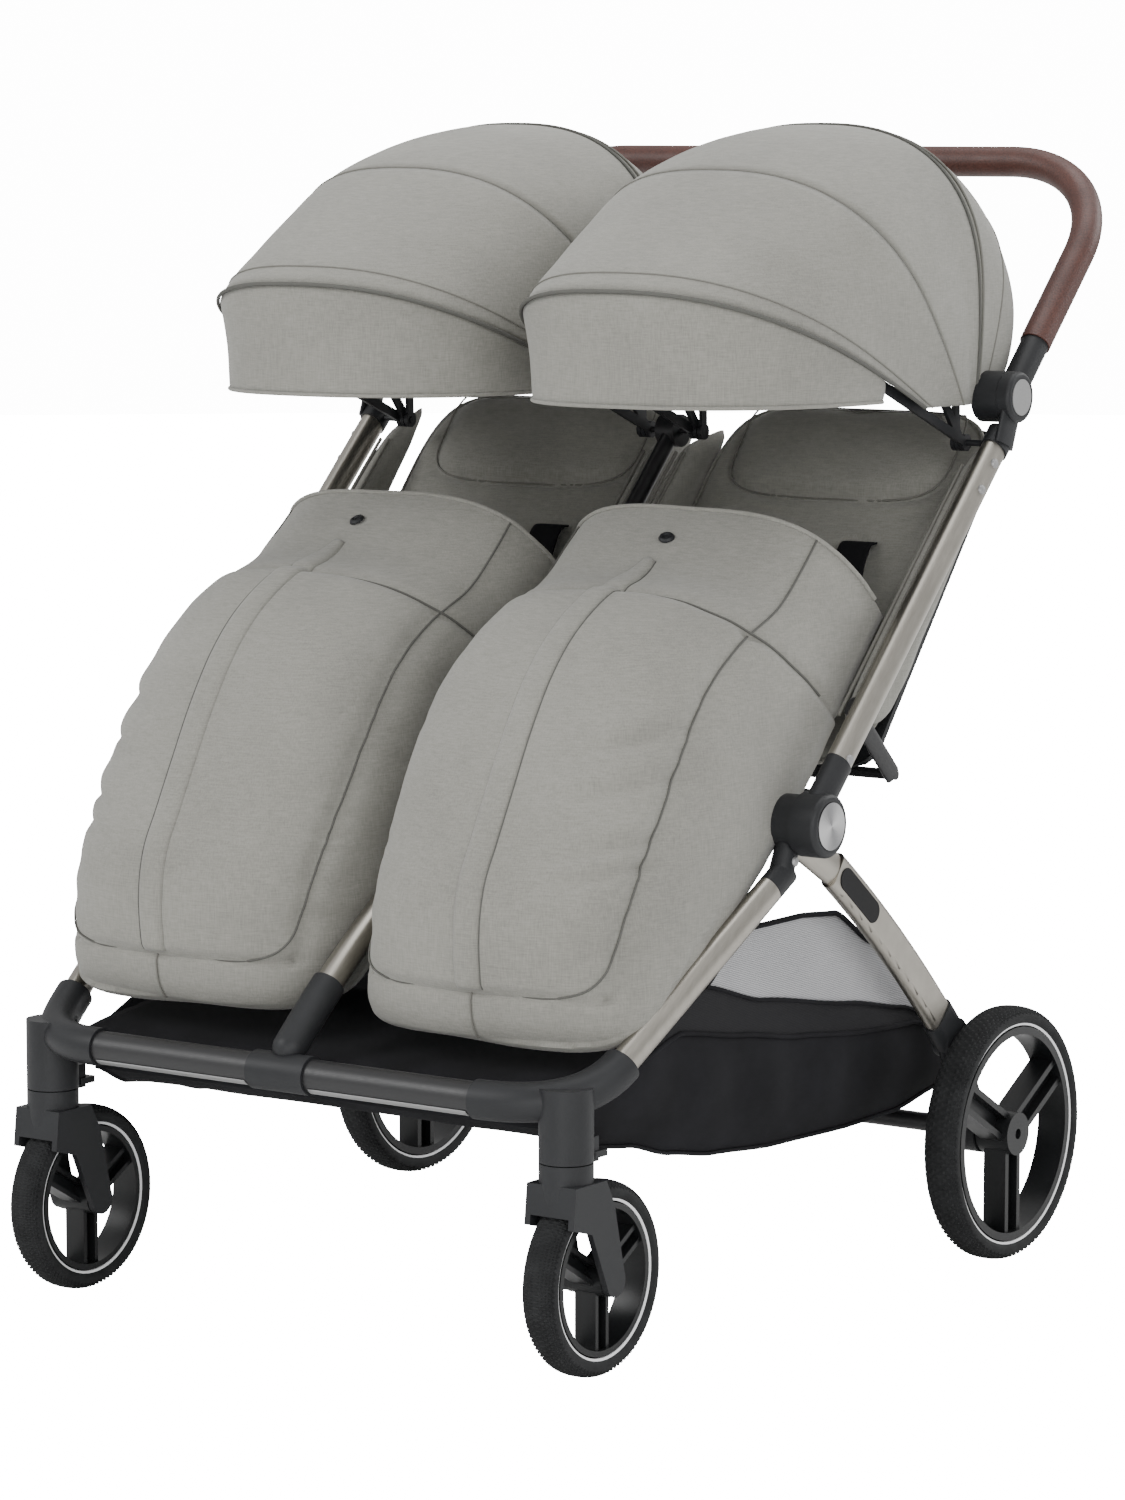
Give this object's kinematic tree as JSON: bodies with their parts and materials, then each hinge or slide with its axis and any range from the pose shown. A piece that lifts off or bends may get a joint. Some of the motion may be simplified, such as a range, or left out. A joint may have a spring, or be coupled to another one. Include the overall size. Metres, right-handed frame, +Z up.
{
  "type": "twin stroller",
  "caption": "Side-by-side folding twin stroller with swivel front castors, padded seats, footmuffs, folding hoods, leather-covered push handle and under-seat basket.",
  "frame": {"origin": "on the floor, under the middle of the whole stroller", "axes": "+Z up, -Y the direction of travel, +X the pusher's left"},
  "size_m": [0.7616, 0.9151, 1.0786],
  "materials": {
    "satin_aluminium": "satin champagne-silver anodised tube",
    "black_tube": "satin black powder coat",
    "black_plastic": "moulded charcoal-black plastic, fine grain",
    "black_rubber": "soft matt rubber",
    "tyre_rubber": "foam-filled rubber tyre with a reflective ring",
    "rim_plastic": "semi-gloss black moulded plastic",
    "brushed_aluminium": "turned radial brushing",
    "grey_disc": "satin grey",
    "brown_leatherette": "grained brown leatherette with stitching",
    "grey_fabric": "warm grey melange woven fabric",
    "black_fabric": "black woven nylon with mesh panels"
  },
  "bodies": {
    "chassis": {"front_crossbar": "black_tube", "front_casting_left": "black_plastic", "front_casting_right": "black_plastic", "front_centre_casting": "black_plastic", "front_leg_left": "satin_aluminium", "front_leg_right": "satin_aluminium", "centre_leg": "satin_aluminium", "leg_brackets": "black_plastic", "fold_cross_tube": "black_tube", "centre_hub": "black_plastic", "seat_pans": "black_plastic", "seat_cushion_left": "grey_fabric", "seat_cushion_right": "grey_fabric", "footmuff_left": "grey_fabric", "footmuff_right": "grey_fabric", "basket": "black_fabric"},
    "upper_frame": {"hub_housing_left": "black_plastic", "hub_housing_right": "black_plastic", "hub_caps": "brushed_aluminium", "upper_tube_left": "satin_aluminium", "upper_tube_right": "satin_aluminium", "pivot_housing_left": "black_plastic", "pivot_housing_right": "black_plastic", "pivot_caps": "grey_disc", "back_cross_rod": "black_tube", "centre_upright": "black_tube", "hood_rear_bows": "black_plastic", "hood_left": "grey_fabric", "hood_right": "grey_fabric"},
    "rear_legs": {"rear_leg_left": "satin_aluminium", "rear_leg_right": "satin_aluminium", "leg_insets": "black_rubber", "rear_feet": "black_plastic", "rear_axle_tube": "black_tube"},
    "brake": {"brake_pedal": "black_plastic"},
    "handle": {"handle_tube": "black_tube", "handle_grip": "brown_leatherette", "handle_knuckles": "black_plastic", "button_saddle": "brown_leatherette"},
    "fold_release": {"fold_button": "black_plastic"},
    "backrest_left": {"back_board_left": "black_plastic", "back_cushion_left": "grey_fabric"},
    "hood_middle_left": {"hood_middle_bow_left": "black_plastic"},
    "hood_front_left": {"hood_front_bow_left": "black_plastic"},
    "castor_left": {"castor_fork_left": "black_plastic"},
    "castor_wheel_left": {"castor_tyre_left": "tyre_rubber", "castor_rim_left": "rim_plastic"},
    "rear_wheel_left": {"rear_tyre_left": "tyre_rubber", "rear_rim_left": "rim_plastic"},
    "swivel_stop_left": {"swivel_lock_left": "black_plastic"},
    "backrest_right": {"back_board_right": "black_plastic", "back_cushion_right": "grey_fabric"},
    "hood_middle_right": {"hood_middle_bow_right": "black_plastic"},
    "hood_front_right": {"hood_front_bow_right": "black_plastic"},
    "castor_right": {"castor_fork_right": "black_plastic"},
    "castor_wheel_right": {"castor_tyre_right": "tyre_rubber", "castor_rim_right": "rim_plastic"},
    "rear_wheel_right": {"rear_tyre_right": "tyre_rubber", "rear_rim_right": "rim_plastic"},
    "swivel_stop_right": {"swivel_lock_right": "black_plastic"}
  },
  "joints": [
    {"name": "main_fold", "type": "hinge", "parent": "chassis", "child": "upper_frame", "pos_m": [0, -0.127, 0.461], "axis": [1, 0, 0], "range_deg": [0, 140], "deforming": ["footmuff_left", "footmuff_right", "seat_cushion_left", "seat_cushion_right", "back_cushion_left", "back_cushion_right", "hood_left", "hood_right", "hood_rear_bows", "hood_front_bow_left", "hood_front_bow_right", "hood_middle_bow_left", "hood_middle_bow_right"]},
    {"name": "rear_fold", "type": "hinge", "parent": "chassis", "child": "rear_legs", "pos_m": [0, -0.127, 0.461], "axis": [1, 0, 0], "range_deg": [-56, 0]},
    {"name": "handle_fold", "type": "hinge", "parent": "upper_frame", "child": "handle", "pos_m": [0, 0.20196, 0.82663], "axis": [-1, 0, 0], "range_deg": [0, 60]},
    {"name": "fold_button_press", "type": "slide", "parent": "handle", "child": "fold_release", "axis": [0, 0, -1], "range_m": [0, 0.0016], "stiffness_N_per_m": 600},
    {"name": "brake_press", "type": "hinge", "parent": "rear_legs", "child": "brake", "pos_m": [0, 0.233, 0.1218], "axis": [-1, 0, 0], "range_deg": [0, 20]},
    {"name": "recline_left", "type": "hinge", "parent": "upper_frame", "child": "backrest_left", "pos_m": [0.1775, 0.03059, 0.48832], "axis": [1, 0, 0], "range_deg": [-32, 0]},
    {"name": "hood_close_left", "type": "hinge", "parent": "upper_frame", "child": "hood_middle_left", "pos_m": [0.1775, 0.18547, 0.78358], "axis": [-1, 0, 0], "range_deg": [0, 28], "deforming": ["hood_left"]},
    {"name": "hood_visor_left", "type": "hinge", "parent": "hood_middle_left", "child": "hood_front_left", "pos_m": [0.1775, 0.18547, 0.78358], "axis": [-1, 0, 0], "range_deg": [0, 22.4], "deforming": ["hood_left"]},
    {"name": "castor_swivel_left", "type": "hinge", "parent": "chassis", "child": "castor_left", "pos_m": [0.29, -0.408, 0.15], "axis": [0, 0, 1], "continuous": true},
    {"name": "castor_spin_left", "type": "hinge", "parent": "castor_left", "child": "castor_wheel_left", "pos_m": [0.29, -0.3695, 0.0866], "axis": [1, 0, 0], "continuous": true},
    {"name": "rear_spin_left", "type": "hinge", "parent": "rear_legs", "child": "rear_wheel_left", "pos_m": [0.35, 0.233, 0.1218], "axis": [1, 0, 0], "continuous": true},
    {"name": "swivel_lock_slide_left", "type": "slide", "parent": "chassis", "child": "swivel_stop_left", "axis": [0, 0, -1], "range_m": [0, 0.006]},
    {"name": "recline_right", "type": "hinge", "parent": "upper_frame", "child": "backrest_right", "pos_m": [-0.1775, 0.03059, 0.48832], "axis": [1, 0, 0], "range_deg": [-32, 0]},
    {"name": "hood_close_right", "type": "hinge", "parent": "upper_frame", "child": "hood_middle_right", "pos_m": [-0.1775, 0.18547, 0.78358], "axis": [-1, 0, 0], "range_deg": [0, 28], "deforming": ["hood_right"]},
    {"name": "hood_visor_right", "type": "hinge", "parent": "hood_middle_right", "child": "hood_front_right", "pos_m": [-0.1775, 0.18547, 0.78358], "axis": [-1, 0, 0], "range_deg": [0, 22.4], "deforming": ["hood_right"]},
    {"name": "castor_swivel_right", "type": "hinge", "parent": "chassis", "child": "castor_right", "pos_m": [-0.29, -0.408, 0.15], "axis": [0, 0, 1], "continuous": true},
    {"name": "castor_spin_right", "type": "hinge", "parent": "castor_right", "child": "castor_wheel_right", "pos_m": [-0.29, -0.3695, 0.0866], "axis": [1, 0, 0], "continuous": true},
    {"name": "rear_spin_right", "type": "hinge", "parent": "rear_legs", "child": "rear_wheel_right", "pos_m": [-0.35, 0.233, 0.1218], "axis": [1, 0, 0], "continuous": true},
    {"name": "swivel_lock_slide_right", "type": "slide", "parent": "chassis", "child": "swivel_stop_right", "axis": [0, 0, -1], "range_m": [0, 0.006]}
  ],
  "couplings": [
    {"joint": "rear_fold", "follows": "main_fold", "ratio": -0.4},
    {"joint": "hood_visor_left", "follows": "hood_close_left", "ratio": 0.8},
    {"joint": "hood_visor_right", "follows": "hood_close_right", "ratio": 0.8}
  ]
}
